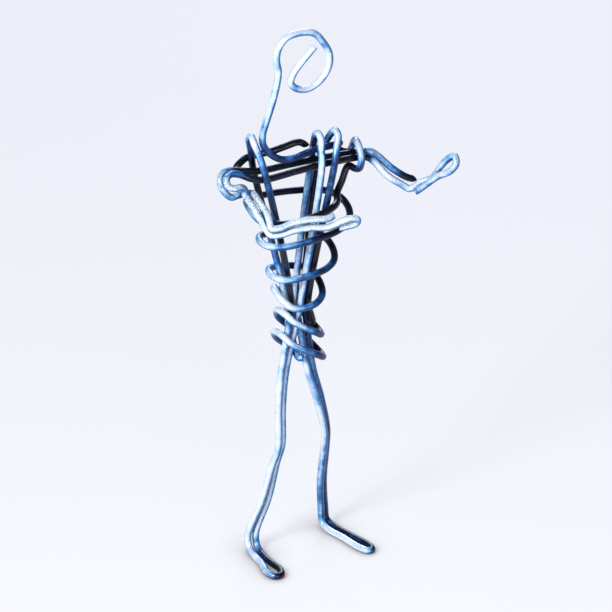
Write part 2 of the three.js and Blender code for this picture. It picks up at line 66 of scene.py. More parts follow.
# Finish of the wire: soft drawn aluminium. The side towards the key lamp and the side opposite it stay nearly white,
# with fine lines along them from the die. From there it ages through a blue-grey oxide to brown-black where it is
# bound; that tarnish is partly painted shade. The sides between get a painted blue shade, painted shade is put where
# wires lie close, and pliers have left pits.
wireFinishAndShade = {
    "ageAndShadeTones": [(0.0, "#F5F8FD"), (0.2, "#D4E7F8"), (0.4, "#86BADF"),
               (0.6, "#386189"), (0.8, "#121E2E"), (1.0, "#120E0C")],
    # painted shade: this blue darkens the sides that turn away from the key lamp side and its opposite
    "paintedShadeTint": [(0.0, "#FFFFFF"), (0.3, "#9CD0F6"), (0.6, "#6AABDE"), (1.0, "#3B6C9C")],
    "pit": "#17283F", "paintedCreviceShade": "#0B2440",
    "metalBare": 0.22, "metalFar": 0.2,
    "roughBare": 0.34, "roughFar": 0.28,
    "paintedShadeFrom": 0.52, "paintedShadeTo": -0.1,  # how far round from a lit side the painted shade begins and is full
    "paintedShadeGrowth": 1.0,         # and how much further it reaches on old wire
    "patchSize": 3.2,         # mm, patches of oxide
    "patchAge": (-0.18, 0.22),   # how much younger and older they are
    "lineWidth": 0.22,        # mm, die lines are finer than this, drawn coarse enough to show
    "lineLength": 9.0,        # mm
    "lineAge": (-0.07, 0.1),
    "noiseBand": (0.3, 0.7),  # the part of a noise that patches and lines are taken from
    "pitSize": 0.26,          # mm
    "pitBand": (0.51, 0.63),  # the noise at which a pit begins and is full
    "pitDepth": 0.8,          # times as deep as the die lines
    "paintedCreviceShadeReach": 0.8,        # mm, how close another wire has to be for the painted shade
    "paintedCreviceShadeBand": (0.7, 0.25),    # how open the wire is where the painted shade begins and is full
    "bumpHeight": 0.03,       # mm
    "bumpStrength": 0.6,
}


def makeWireFinishAndShade():
    look = wireFinishAndShade
    material = bpy.data.materials.new("drawnAluminiumWire")
    material.use_nodes = True
    tree = material.node_tree
    tree.nodes.clear()
    place = addNode(tree, "ShaderNodeAttribute", attribute_name="drawnPlace").outputs["Vector"]
    tarnishAndShade = addNode(tree, "ShaderNodeAttribute", attribute_name="tarnishAndShade").outputs["Fac"]
    pitting = addNode(tree, "ShaderNodeAttribute", attribute_name="pitting").outputs["Fac"]
    paintedLitSide = addNode(tree, "ShaderNodeAttribute", attribute_name="paintedLitSide").outputs["Fac"]
    perMm = addNode(tree, "ShaderNodeVectorMath", {0: place, "Scale": 1 / mm}, operation="SCALE").outputs[0]

    patch = addNode(tree, "ShaderNodeTexNoise",
                    {"Vector": perMm, "Scale": 1 / look["patchSize"], "Detail": 5.0, "Roughness": 0.62}).outputs["Fac"]
    alongLine = addNode(tree, "ShaderNodeVectorMath",
                        {0: perMm, 1: (1, 1, look["lineWidth"] / look["lineLength"])}, operation="MULTIPLY").outputs[0]
    lines = addNode(tree, "ShaderNodeTexNoise",
                    {"Vector": alongLine, "Scale": 1 / look["lineWidth"], "Detail": 2.0}).outputs["Fac"]
    grain = addNode(tree, "ShaderNodeTexNoise",
                    {"Vector": perMm, "Scale": 1 / look["pitSize"], "Detail": 3.0, "Roughness": 0.7}).outputs["Fac"]

    # age and shade: the wire's own tarnish, partly painted shade, uneven in patches and along the die lines
    bandFrom, bandTo = look["noiseBand"]
    shifts = []
    for noise, name in ((patch, "patchAge"), (lines, "lineAge")):
        younger, older = look[name]
        shifts.append(addNode(tree, "ShaderNodeMapRange",
                              {"Value": noise, "From Min": bandFrom, "From Max": bandTo,
                               "To Min": younger, "To Max": older}).outputs[0])
    uneven = addNode(tree, "ShaderNodeMath", {0: shifts[0], 1: shifts[1]}, operation="ADD").outputs[0]
    ageAndShade = addNode(tree, "ShaderNodeMath", {0: tarnishAndShade, 1: uneven}, operation="ADD", use_clamp=True).outputs[0]

    # painted shade on the sides between the lamp side and its opposite, starting at a ragged edge
    ragged = addNode(tree, "ShaderNodeMath", {0: ageAndShade, 1: -look["paintedShadeGrowth"], 2: paintedLitSide},
                     operation="MULTIPLY_ADD").outputs[0]
    paintedShadeMask = addNode(tree, "ShaderNodeMapRange",
                      {"Value": ragged, "From Min": look["paintedShadeFrom"], "From Max": look["paintedShadeTo"]},
                      interpolation_type="SMOOTHSTEP").outputs[0]
    tones = {}
    for name, factor in (("ageAndShadeTones", ageAndShade), ("paintedShadeTint", paintedShadeMask)):
        ramp = addNode(tree, "ShaderNodeValToRGB", {"Fac": factor})
        stops = ramp.color_ramp.elements
        while len(stops) < len(look[name]):
            stops.new(0.5)
        for stop, (at, tone) in zip(stops, look[name]):
            stop.position, stop.color = at, hexColour(tone)
        tones[name] = ramp.outputs["Color"]
    sided = addNode(tree, "ShaderNodeMix", {"Factor": 1.0, 6: tones["ageAndShadeTones"], 7: tones["paintedShadeTint"]},
                    data_type="RGBA", blend_type="MULTIPLY").outputs[2]

    pitFrom, pitFull = look["pitBand"]
    pitMask = addNode(tree, "ShaderNodeMapRange", {"Value": grain, "From Min": pitFrom, "From Max": pitFull},
                      interpolation_type="SMOOTHSTEP").outputs[0]
    pitShare = addNode(tree, "ShaderNodeMath", {0: pitMask, 1: pitting}, operation="MULTIPLY").outputs[0]
    colour = addNode(tree, "ShaderNodeMix", {"Factor": pitShare, 6: sided, 7: hexColour(look["pit"])},
                     data_type="RGBA").outputs[2]

    # painted shade: darker where another wire lies close, found by ambient occlusion
    openness = addNode(tree, "ShaderNodeAmbientOcclusion", {"Distance": look["paintedCreviceShadeReach"] * mm},
                       samples=4).outputs["AO"]
    paintedCreviceShadeFrom, paintedCreviceShadeFull = look["paintedCreviceShadeBand"]
    paintedCreviceShadeMask = addNode(tree, "ShaderNodeMapRange", {"Value": openness, "From Min": paintedCreviceShadeFrom, "From Max": paintedCreviceShadeFull},
                        interpolation_type="SMOOTHSTEP").outputs[0]
    colour = addNode(tree, "ShaderNodeMix", {"Factor": paintedCreviceShadeMask, 6: colour, 7: hexColour(look["paintedCreviceShade"])},
                     data_type="RGBA").outputs[2]

    covered = addNode(tree, "ShaderNodeMath", {0: paintedShadeMask, 1: ageAndShade}, operation="MAXIMUM").outputs[0]
    metal = addNode(tree, "ShaderNodeMapRange",
                    {"Value": covered, "To Min": look["metalBare"], "To Max": look["metalFar"]}).outputs[0]
    rough = addNode(tree, "ShaderNodeMapRange",
                    {"Value": covered, "To Min": look["roughBare"], "To Max": look["roughFar"]}).outputs[0]

    height = addNode(tree, "ShaderNodeMath", {0: pitShare, 1: -look["pitDepth"], 2: lines},
                     operation="MULTIPLY_ADD").outputs[0]
    bump = addNode(tree, "ShaderNodeBump", {"Height": height, "Strength": look["bumpStrength"],
                                            "Distance": look["bumpHeight"] * mm}).outputs[0]
    shader = addNode(tree, "ShaderNodeBsdfPrincipled",
                     {"Base Color": colour, "Metallic": metal, "Roughness": rough, "Normal": bump})
    addNode(tree, "ShaderNodeOutputMaterial", {"Surface": shader.outputs[0]})
    return material


wireMaterial = makeWireFinishAndShade()
print("finish of the wire made")


# Sizes of the wire, in millimetres
wireSizes = {
    "diameter": 1.5,
    "ringStep": 0.3,      # spacing of the rings along it
    "ringSides": 20,
    "ripple": 0.02,       # how much hand bending has upset its roundness
    "rippleLength": 2.4,
    "nipLength": 0.8,     # cut ends are nipped flat over this length
    "nipWidth": 0.45,     # share of the diameter left at the end
    "nipCurve": 1.5,      # how suddenly it narrows
    "ground": 0.0,        # the feet are flat where they stand
    "curveSteps": 40,     # steps of the smooth curve between two points of a route
    "paintedLightSide": (-0.62, -0.40, 0.68),  # the side towards the key lamp, left without painted shade
    "backPaintedLight": 0.85, "backPaintedLightLoss": 0.05,  # and how much of that the opposite side keeps
}


def makeWireTree():
    tree = bpy.data.node_groups.new("drawnWireTree", "GeometryNodeTree")
    sockets = {}
    for name, kind in (("Path", "Geometry"), ("Diameter", "Float"), ("Ring sides", "Int"), ("Ripple", "Float"),
                       ("Ripple length", "Float"), ("Ground", "Float"), ("Painted light side", "Vector"), ("Finish", "Material")):
        sockets[name] = tree.interface.new_socket(name, in_out="INPUT", socket_type="NodeSocket" + kind).identifier
    tree.interface.new_socket("Wire", in_out="OUTPUT", socket_type="NodeSocketGeometry")
    given = addNode(tree, "NodeGroupInput").outputs

    path = addNode(tree, "GeometryNodeMeshToCurve", {"Mesh": given["Path"]}).outputs[0]
    across = addNode(tree, "GeometryNodeInputNamedAttribute", {"Name": "ringNormal"},
                     data_type="FLOAT_VECTOR").outputs[0]
    along = addNode(tree, "GeometryNodeInputNamedAttribute", {"Name": "wireLength"}, data_type="FLOAT").outputs[0]
    nip = addNode(tree, "GeometryNodeInputNamedAttribute", {"Name": "nip"}, data_type="FLOAT").outputs[0]
    turned = addNode(tree, "GeometryNodeSetCurveNormal", {"Curve": path, "Normal": across}, mode="FREE").outputs[0]

    radius = addNode(tree, "ShaderNodeMath", {0: given["Diameter"], 1: 0.5}, operation="MULTIPLY").outputs[0]
    ring = addNode(tree, "GeometryNodeCurvePrimitiveCircle", {"Resolution": given["Ring sides"], "Radius": radius})
    held = addNode(tree, "GeometryNodeCaptureAttribute", {"Geometry": ring.outputs[0]}, domain="POINT")
    held.capture_items.new("VECTOR", "Section")
    tree.links.new(addNode(tree, "GeometryNodeInputPosition").outputs[0], held.inputs["Section"])
    section = addNode(tree, "ShaderNodeSeparateXYZ", {0: held.outputs["Section"]}).outputs
    tube = addNode(tree, "GeometryNodeCurveToMesh",
                   {"Curve": turned, "Profile Curve": held.outputs["Geometry"], "Fill Caps": True}).outputs[0]

    # where each point was on the straight wire, for patterns that follow its length
    straight = addNode(tree, "ShaderNodeCombineXYZ", {0: section["X"], 1: section["Y"], 2: along}).outputs[0]
    marked = addNode(tree, "GeometryNodeStoreNamedAttribute",
                     {"Geometry": tube, "Name": "drawnPlace", "Value": straight},
                     data_type="FLOAT_VECTOR", domain="POINT").outputs[0]

    # painted light side: high towards the key lamp and on the side opposite it, low on the sides between, which get the
    # painted shade
    middle = addNode(tree, "GeometryNodeInputNamedAttribute", {"Name": "middle"}, data_type="FLOAT_VECTOR").outputs[0]
    position = addNode(tree, "GeometryNodeInputPosition").outputs[0]
    fromMiddle = addNode(tree, "ShaderNodeVectorMath", {0: position, 1: middle}, operation="SUBTRACT").outputs[0]
    outwards = addNode(tree, "ShaderNodeVectorMath", {0: fromMiddle}, operation="NORMALIZE").outputs[0]
    facing = addNode(tree, "ShaderNodeVectorMath", {0: outwards, 1: given["Painted light side"]},
                     operation="DOT_PRODUCT").outputs["Value"]
    opposite = addNode(tree, "ShaderNodeMath", {0: facing, 1: -wireSizes["backPaintedLight"], 2: -wireSizes["backPaintedLightLoss"]},
                       operation="MULTIPLY_ADD").outputs[0]
    paintedLitSide = addNode(tree, "ShaderNodeMath", {0: facing, 1: opposite}, operation="MAXIMUM").outputs[0]
    marked = addNode(tree, "GeometryNodeStoreNamedAttribute", {"Geometry": marked, "Name": "paintedLitSide", "Value": paintedLitSide},
                     data_type="FLOAT", domain="POINT").outputs[0]

    squeeze = addNode(tree, "ShaderNodeMath", {0: section["X"], 1: nip}, operation="MULTIPLY").outputs[0]
    inward = addNode(tree, "ShaderNodeVectorMath", {0: across, "Scale": squeeze}, operation="SCALE").outputs[0]
    nipped = addNode(tree, "GeometryNodeSetPosition", {"Geometry": marked, "Offset": inward}).outputs[0]

    finer = addNode(tree, "ShaderNodeMath", {0: 1.0, 1: given["Ripple length"]}, operation="DIVIDE").outputs[0]
    wave = addNode(tree, "ShaderNodeTexNoise", {"Vector": straight, "Scale": finer, "Detail": 2.0}).outputs[0]
    swing = addNode(tree, "ShaderNodeMath", {0: wave, 1: 0.5}, operation="SUBTRACT").outputs[0]
    lift = addNode(tree, "ShaderNodeMath", {0: swing, 1: given["Ripple"]}, operation="MULTIPLY").outputs[0]
    moved = addNode(tree, "ShaderNodeVectorMath", {0: outwards, "Scale": lift}, operation="SCALE").outputs[0]
    rippled = addNode(tree, "GeometryNodeSetPosition", {"Geometry": nipped, "Offset": moved}).outputs[0]

    spot = addNode(tree, "ShaderNodeSeparateXYZ", {0: addNode(tree, "GeometryNodeInputPosition").outputs[0]}).outputs
    level = addNode(tree, "ShaderNodeMath", {0: spot["Z"], 1: given["Ground"]}, operation="MAXIMUM").outputs[0]
    levelled = addNode(tree, "ShaderNodeCombineXYZ", {0: spot["X"], 1: spot["Y"], 2: level}).outputs[0]
    standing = addNode(tree, "GeometryNodeSetPosition", {"Geometry": rippled, "Position": levelled}).outputs[0]

    whole = addNode(tree, "GeometryNodeRealizeInstances", {"Geometry": standing}).outputs[0]
    finished = addNode(tree, "GeometryNodeSetMaterial", {"Geometry": whole, "Material": given["Finish"]}).outputs[0]
    addNode(tree, "NodeGroupOutput", {0: finished})
    return tree, sockets


wireTree, wireSockets = makeWireTree()


def smoothPath(points):  # centripetal curve through the points, with the length at each of them
    pts = np.array(points, float)
    ends = np.vstack([2 * pts[0] - pts[1], pts, 2 * pts[-1] - pts[-2]])
    fine, marks = [], []
    for i in range(1, len(ends) - 2):
        a, b, c, d = ends[i - 1:i + 3]
        knots = np.cumsum([0] + [max(np.linalg.norm(q - p), 1e-6) ** 0.5 for p, q in ((a, b), (b, c), (c, d))])
        marks.append(len(fine))
        for t in np.linspace(knots[1], knots[2], wireSizes["curveSteps"], endpoint=False):
            mix = lambda p, q, i, j: ((knots[j] - t) * p + (t - knots[i]) * q) / (knots[j] - knots[i])
            ab, bc, cd = mix(a, b, 0, 1), mix(b, c, 1, 2), mix(c, d, 2, 3)
            fine.append(mix(mix(ab, bc, 0, 2), mix(bc, cd, 1, 3), 1, 2))
    marks.append(len(fine))
    fine.append(pts[-1])
    fine = np.array(fine)
    lengths = np.concatenate([[0], np.cumsum(np.linalg.norm(np.diff(fine, axis=0), axis=1))])
    return fine, lengths, lengths[marks]


def ringNormals(path):  # a direction across the wire that does not twist round it
    tangents = np.gradient(path, axis=0)
    tangents /= np.linalg.norm(tangents, axis=1)[:, None]
    anyAcross = (0.3, 0.5, 0.8)  # along no wire's first stretch
    normal = np.cross(tangents[0], anyAcross)
    normals = []
    for tangent in tangents:
        normal = normal - tangent * np.dot(normal, tangent)
        normal = normal / np.linalg.norm(normal)
        normals.append(normal)
    return np.array(normals)


def sweepPiece(name, path, normals, lengths, nip, tarnishAndShade, pitting):
    size = wireSizes
    line = bpy.data.meshes.new(name + "_path")
    line.from_pydata([tuple(p) for p in path * mm], [(i, i + 1) for i in range(len(path) - 1)], [])
    for label, kind, values in (("ringNormal", "FLOAT_VECTOR", normals), ("middle", "FLOAT_VECTOR", path * mm),
                                ("wireLength", "FLOAT", lengths * mm),
                                ("nip", "FLOAT", nip), ("tarnishAndShade", "FLOAT", tarnishAndShade), ("pitting", "FLOAT", pitting)):
        data = line.attributes.new(label, kind, "POINT").data
        data.foreach_set("vector" if kind == "FLOAT_VECTOR" else "value", np.asarray(values, np.float32).ravel())
    source = bpy.data.objects.new(name + "_path", line)
    bpy.context.collection.objects.link(source)
    sweep = source.modifiers.new("sweep", "NODES")
    sweep.node_group = wireTree
    for label, value in (("Diameter", size["diameter"] * mm), ("Ring sides", size["ringSides"]),
                         ("Ripple", 2 * size["ripple"] * mm), ("Ripple length", size["rippleLength"] * mm),
                         ("Ground", size["ground"] * mm), ("Painted light side", size["paintedLightSide"]), ("Finish", wireMaterial)):
        sweep[wireSockets[label]] = value
    ready = source.evaluated_get(bpy.context.evaluated_depsgraph_get())
    mesh = bpy.data.meshes.new_from_object(ready)
    mesh.name = name
    bpy.data.objects.remove(source)
    bpy.data.meshes.remove(line)
    for label in ("ringNormal", "middle", "wireLength", "nip"):
        if label in mesh.attributes:
            mesh.attributes.remove(mesh.attributes[label])
    sharp = mesh.attributes.get("sharp_edge") or mesh.attributes.new("sharp_edge", "BOOLEAN", "EDGE")
    for polygon in mesh.polygons:  # round sides are smooth and the cut faces are flat
        polygon.use_smooth = len(polygon.vertices) == 4
        if not polygon.use_smooth:
            for loop in polygon.loop_indices:
                sharp.data[mesh.loops[loop].edge_index].value = True
    piece = bpy.data.objects.new(name, mesh)
    bpy.context.collection.objects.link(piece)
    return piece


def bendWire(wireName, pieces):  # one length of wire, parted where it can be parted without showing
    route, marks = [], [0]
    for piece in pieces:
        route += piece["route"] if not route else piece["route"][1:]
        marks.append(len(route) - 1)
    fine, fineLengths, pointLengths = smoothPath(route)
    total = fineLengths[-1]
    partings = pointLengths[marks]
    samples, starts = [], []
    for first, last in zip(partings[:-1], partings[1:]):
        count = max(2, round((last - first) / wireSizes["ringStep"]))
        starts.append(len(samples))
        samples += list(np.linspace(first, last, count, endpoint=False))
    starts.append(len(samples))
    samples.append(total)
    samples = np.array(samples)
    path = np.stack([np.interp(samples, fineLengths, fine[:, k]) for k in range(3)], 1)
    normals = ringNormals(path)
    toEnd = np.minimum(samples, total - samples)
    nip = -(1 - wireSizes["nipWidth"]) * np.clip(1 - toEnd / wireSizes["nipLength"], 0, 1) ** wireSizes["nipCurve"]
    made = []
    for i, piece in enumerate(pieces):
        part = slice(starts[i], starts[i + 1] + 1)
        stops = np.linspace(marks[i], marks[i + 1], len(piece["tarnishAndShade"]))  # spread evenly over the route's points
        stopLengths = np.interp(stops, np.arange(len(pointLengths)), pointLengths)
        tarnishAndShade = np.interp(samples[part], stopLengths, piece["tarnishAndShade"])
        pitting = np.full(len(tarnishAndShade), piece["pitting"])
        mesh = sweepPiece(piece["name"], path[part], normals[part], samples[part], nip[part], tarnishAndShade, pitting)
        made.append((mesh, piece))
    print(f"{wireName}: {total:.0f} mm of wire in {len(pieces)} pieces")
    return made


# Routes are in millimetres, along the middle of the wire. Tarnish, partly painted shade, goes from bare, 0, to black,
# 1,
# along the piece: it is higher on back runs, rails, the lead and the binding where shade falls on them.
frontArmWire = [
    {"name": "right_hand_loop", "bend": "rightElbow", "nodes": ["right_forearm_hand"],
     "tarnishAndShade": (0.05, 0, 0, 0.05), "pitting": 0.6,
     "route": [(-3, -9.07, 81.37), (-0.89, -9.74, 81.65), (0.38, -10.34, 82.19), (0.36, -10.82, 83.29),
               (-1.49, -10.62, 83.85), (-5.65, -9.31, 82.29), (-9.39, -8.18, 82.52), (-12.95, -7.17, 82.18),
               (-15.63, -6.5, 81.57), (-17.41, -5.75, 81.78), (-17.98, -4.78, 82.96), (-18.7, -3.44, 84.84)]},
    {"name": "right_shoulder_hairpin", "bend": "rightShoulder", "nodes": ["right_upper_arm_outer"],
     "tarnishAndShade": (0.05, 0.1, 0.05, 0.05, 0.3, 0.8, 0.88), "pitting": 1,
     "route": [(-18.7, -3.44, 84.84), (-19.21, -1.21, 86.76), (-19.25, 1.77, 87.8), (-19.45, 1.87, 89.3),
               (-20.55, 1.57, 90.2), (-22.05, 1.37, 90.4), (-23.25, 1.87, 91), (-23.15, 2.87, 92.2),
               (-21.75, 3.67, 92.6), (-19.55, 3.57, 92), (-17.45, 2.62, 91), (-14.95, 2.22, 90.3),
               (-7.2, 2.22, 90.4)]},
    {"name": "left_shoulder_front_strand", "bend": "leftShoulder", "nodes": ["front_rail", "left_upper_arm_front"],
     "tarnishAndShade": (0.88, 0.88, 0.75, 0.05, 0), "pitting": 0.3,
     "route": [(-7.2, 2.22, 90.4), (0.95, 2.22, 90.5), (9.25, 2.22, 89.7), (10.69, 1.84, 88.75),
               (13.27, 0.14, 85.36)]},
    {"name": "left_hand_loop", "bend": "leftElbow", "nodes": ["left_forearm_hand"],
     "tarnishAndShade": (0, 0.1, 0.2, 0.3, 0.2, 0.25), "pitting": 0.5,
     "route": [(13.27, 0.14, 85.36), (16.11, -1.11, 83.02), (17.38, -1.65, 82.12), (18.08, -1.95, 82.22),
               (19.11, -3.39, 83.91), (21.08, -5.31, 85.56), (21.65, -7.24, 88.61), (22.79, -8.64, 90.89),
               (23.69, -9.87, 92), (23.47, -11.05, 90.89), (22.38, -10.84, 89.38), (20.45, -8.34, 87.25),
               (19.08, -6.42, 85), (17.6, -4.33, 82.56)]},
]

backArmWire = [
    {"name": "right_forearm_tail_strand", "bend": "rightElbow", "nodes": ["right_forearm_tail"],
     "tarnishAndShade": (0, 0.05), "pitting": 0.6,
     "route": [(-3.87, -8.34, 84.12), (-5.65, -8.79, 84.02), (-9.39, -8, 84.31), (-12.95, -7.17, 83.98),
               (-15.63, -6.86, 83.33), (-17.41, -6.29, 83.49), (-17.3, -5.28, 84.55), (-17.16, -3.71, 85.74)]},
    {"name": "right_shoulder_ring", "bend": "rightShoulder", "nodes": ["right_upper_arm_inner"],
     "tarnishAndShade": (0.05, 0.05, 0.5, 0.1, 0.05, 0.4, 0.85, 0.88), "pitting": 1,
     "route": [(-17.16, -3.71, 85.74), (-17.43, -1.3, 87.03), (-17.45, 1.77, 87.8), (-17.45, 2.87, 87.5),
               (-18.35, 3.97, 87.1), (-19.85, 4.27, 86.9), (-21.45, 3.97, 87), (-23.25, 4.07, 89),
               (-23.75, 4.47, 91), (-22.55, 5.37, 92.3), (-20.85, 5.47, 92.4), (-18.75, 5.37, 91.9),
               (-14.95, 4.72, 91.2), (-7.2, 4.72, 90.9)]},
    {"name": "left_shoulder_back_strand", "bend": "leftShoulder", "nodes": ["back_rail", "left_upper_arm_back"],
     "tarnishAndShade": (0.88, 0.88, 0.75, 0.25, 0.45, 0.8, 0.75), "pitting": 0.3,
     "route": [(-7.2, 4.72, 90.9), (0.95, 4.72, 90.6), (9.25, 4.72, 89.7), (11.55, 4.12, 89.5),
               (14.57, 0.48, 86.55), (17.11, -0.66, 84.53), (19.2, -1.04, 83.51)]},
]

trunkAndLegWire = [
    {"name": "right_trunk_run", "bend": "rightHip", "nodes": ["right_trunk_wire"],
     "tarnishAndShade": (0.35, 0.45, 0.5, 0.5, 0.3, 0.05, 0.85, 0.6, 0.35, 0.2, 0.15, 0.3, 0.5, 0.82, 0.3, 0.05, 0),
     "pitting": 0.25,
     "route": [(-6.06, 1.27, 46.7), (-6.33, 2.47, 46.2), (-6.42, 3.67, 46.8), (-6.6, 4.7, 49.2),
               (-7.5, 4.73, 52.3), (-8.1, 4.45, 58.3), (-14.95, 6.52, 90.9), (-16.05, 5.55, 96.07),
               (-16.95, 4.57, 99.36), (-16.95, 3.47, 100.3), (-16.95, 2.38, 99.36), (-16.05, 1.4, 96.07),
               (-14.95, 0.42, 90.9), (-8.1, 2.5, 58.3), (-8.77, 2.63, 53.65), (-10.34, 2.95, 42.8),
               (-10.86, 3.14, 34.3)]},
    {"name": "right_knee_outer_strand", "bend": "rightKnee", "nodes": ["right_thigh_outer", "right_shin_outer"],
     "tarnishAndShade": (0, 0.05, 0), "pitting": 0.25,
     "route": [(-10.86, 3.14, 34.3), (-10.97, 2.93, 25.8), (-11.89, 3.93, 21.44), (-13.19, 6.07, 12.48)]},
    {"name": "right_foot_loop", "bend": "rightAnkle", "nodes": ["right_foot"],
     "tarnishAndShade": (0, 0, 0.05, 0.1, 0.1, 0.25, 0.5, 0.75, 0.85, 0.85, 0.8, 0.65, 0.3, 0.1, 0), "pitting": 0.25,
     "route": [(-13.19, 6.07, 12.48), (-15.45, 8, 4), (-15.48, 7.59, 1.4), (-15.61, 5.73, 0.6),
               (-15.92, 1.25, 0.6), (-16.77, -3.05, 0.6), (-16.34, -5.12, 0.6), (-15.5, -5.59, 0.6),
               (-14.6, -5.25, 0.6), (-13.88, -3.25, 0.6), (-14.13, 1.13, 0.6), (-13.81, 5.61, 0.6),
               (-13.68, 7.54, 1.4), (-13.65, 7.95, 4), (-11.44, 6.46, 12.48)]},
    {"name": "right_knee_inner_strand", "bend": "rightKnee", "nodes": ["right_thigh_inner", "right_shin_inner"],
     "tarnishAndShade": (0, 0.05, 0), "pitting": 0.25,
     "route": [(-11.44, 6.46, 12.48), (-10.32, 4.82, 21.44), (-9.53, 4.01, 25.8), (-9.34, 4.11, 34.3)]},
    {"name": "middle_trunk_front_run", "bend": "rightHip", "nodes": ["middle_trunk_wire"],
     "tarnishAndShade": (0, 0.05, 0.1, 0.1, 0.2, 0.2, 0.15, 0.2), "pitting": 0.25,
     "route": [(-9.34, 4.11, 34.3), (-8.75, 3.8, 42.8), (-6.93, 2.89, 53.65), (-6.15, 2.5, 58.3),
               (-2.05, 0.42, 90.9), (-1.61, 1.4, 94.37), (-1.25, 2.38, 96.57), (-1.25, 3.47, 97.2)]},
    {"name": "middle_trunk_back_run", "bend": "leftHip", "nodes": [],
     "tarnishAndShade": (0.2, 0.4, 0.65, 0.5, 0.15, 0.35, 0.1, 0), "pitting": 0.25,
     "route": [(-1.25, 3.47, 97.2), (-1.25, 4.57, 96.57), (-1.2, 5.55, 94.37), (-1.15, 6.52, 90.9),
               (-6.15, 4.45, 58.3), (-5.52, 4.04, 53.65), (-4.06, 3.08, 42.8), (-1.27, 3.94, 34.3)]},
    {"name": "left_knee_inner_strand", "bend": "leftKnee", "nodes": ["left_thigh_inner", "left_shin_inner"],
     "tarnishAndShade": (0, 0, 0.1, 0.2), "pitting": 0.25,
     "route": [(-1.27, 3.94, 34.3), (0.94, 4.82, 25.8), (1.34, 5.86, 21.44), (1.67, 8.05, 12.28)]},
    {"name": "left_foot_loop", "bend": "leftAnkle", "nodes": ["left_foot"],
     "tarnishAndShade": (0.2, 0.25, 0.2, 0.1, 0.05, 0.05, 0.2, 0.6, 0.8, 0.8, 0.75, 0.65, 0.6, 0.5, 0.4), "pitting": 0.25,
     "route": [(1.67, 8.05, 12.28), (2.93, 10.03, 4), (3.03, 9.58, 1.4), (3.33, 7.79, 0.6), (4.41, 2.76, 0.6),
               (5.26, -2.16, 0.6), (6.18, -4.36, 0.6), (6.92, -4.68, 0.6), (7.47, -4.08, 0.6), (7.41, -1.7, 0.6),
               (6.17, 3.14, 0.6), (5.09, 8.17, 0.6), (4.47, 10.66, 1.4), (4.37, 11.11, 4), (3.04, 9.22, 12.28)]},
    {"name": "left_knee_outer_strand", "bend": "leftKnee", "nodes": ["left_thigh_outer", "left_shin_outer"],
     "tarnishAndShade": (0.35, 0.25, 0.6, 0.2), "pitting": 0.25,
     "route": [(3.04, 9.22, 12.28), (2.61, 7.13, 21.44), (2.17, 6.13, 25.8), (0.17, 5.01, 34.3)]},
    {"name": "left_trunk_run", "bend": "leftHip", "nodes": ["left_trunk_wire"],
     "tarnishAndShade": (0.35, 0.2, 0.55, 0.7, 0.75, 0.55, 0.35, 0.25, 0.2, 0.25, 0.5, 0.98, 0.9, 0.8), "pitting": 0.25,
     "route": [(0.17, 5.01, 34.3), (-2.44, 3.87, 42.8), (-3.67, 4.28, 53.65), (-4.2, 4.45, 58.3),
               (0.95, 6.52, 90.9), (2, 5.55, 94.2), (2.85, 4.57, 96.3), (2.85, 3.47, 96.9), (2.85, 2.38, 96.3),
               (2, 1.4, 94.2), (0.95, 0.42, 90.9), (-4.2, 2.5, 58.3), (-3.63, 2.39, 55.9), (-3, 2.39, 53.5)]},
]

# The binding winds down the trunk, tied to the strands' width and depth at each height. Lengths are in millimetres
binding = {
    "turns": 6, "stepsPerTurn": 12, "firstStep": 6, "lastStep": 69,
    "top": 88.5, "bottom": 45.9, "ease": 0.45,  # heights, and how much closer the lower turns lie
    "upperTurns": 3.05, "steepTurns": 0.8,      # it goes over to steep turns after so many, within so many
    "topTilt": 1.4, "bottomTilt": 4.8, "topLow": 60.0,  # slope of a turn, and degrees to where an upper one is lowest
    "topSlack": 4.9, "slack": 0.1, "slackFall": 2.8, "depthSlack": 0.85,  # how loosely it lies round the strands
    "squareness": 0.72,
    "middle": (-6.148, 3.474), "shoulderShift": 1.9, "hipShift": -0.25,
    "shoulders": 90.9, "waist": 58.3, "hips": 42.8,
    "pitch": 1.8,  # from the middle of a strand to that of the binding
    "shoulderHalf": 8.8, "waistHalf": 1.95, "hipHalf": 4.05, "shoulderDepth": 3.05, "waistDepth": 0.975,
}


def bindingPoint(turn):
    b = binding
    share, angle = turn / b["turns"], turn * 2 * math.pi
    fall = share * (1 + b["ease"]) - b["ease"] * share * share
    past = min(max((turn - b["upperTurns"]) / b["steepTurns"], 0), 1)
    steep = past * past * (3 - 2 * past)
    tilt = b["topTilt"] + (b["bottomTilt"] - b["topTilt"]) * steep
    lowest = math.radians(b["topLow"]) * (1 - steep)
    height = b["top"] + (b["bottom"] - b["top"]) * fall - tilt * math.cos(angle - lowest)
    spread = min(max((height - b["waist"]) / (b["shoulders"] - b["waist"]), 0), 1)
    straddle = min(max((b["waist"] - height) / (b["waist"] - b["hips"]), 0), 1)
    half = b["waistHalf"] + (b["shoulderHalf"] - b["waistHalf"]) * spread + (b["hipHalf"] - b["waistHalf"]) * straddle
    half += b["pitch"] + b["slack"] + (b["topSlack"] - b["slack"]) * (1 - share) ** b["slackFall"]
    depth = b["waistDepth"] + (b["shoulderDepth"] - b["waistDepth"]) * spread + b["pitch"] + b["depthSlack"]
    middle = b["middle"][0] + b["shoulderShift"] * spread + b["hipShift"] * straddle
    squared = lambda ratio: math.copysign(abs(ratio) ** b["squareness"], ratio)
    return (middle + half * squared(math.cos(angle)), b["middle"][1] - depth * squared(math.sin(angle)), height)


bindingRun = [bindingPoint(step / binding["stepsPerTurn"])
              for step in range(binding["firstStep"], binding["lastStep"] + 1)]

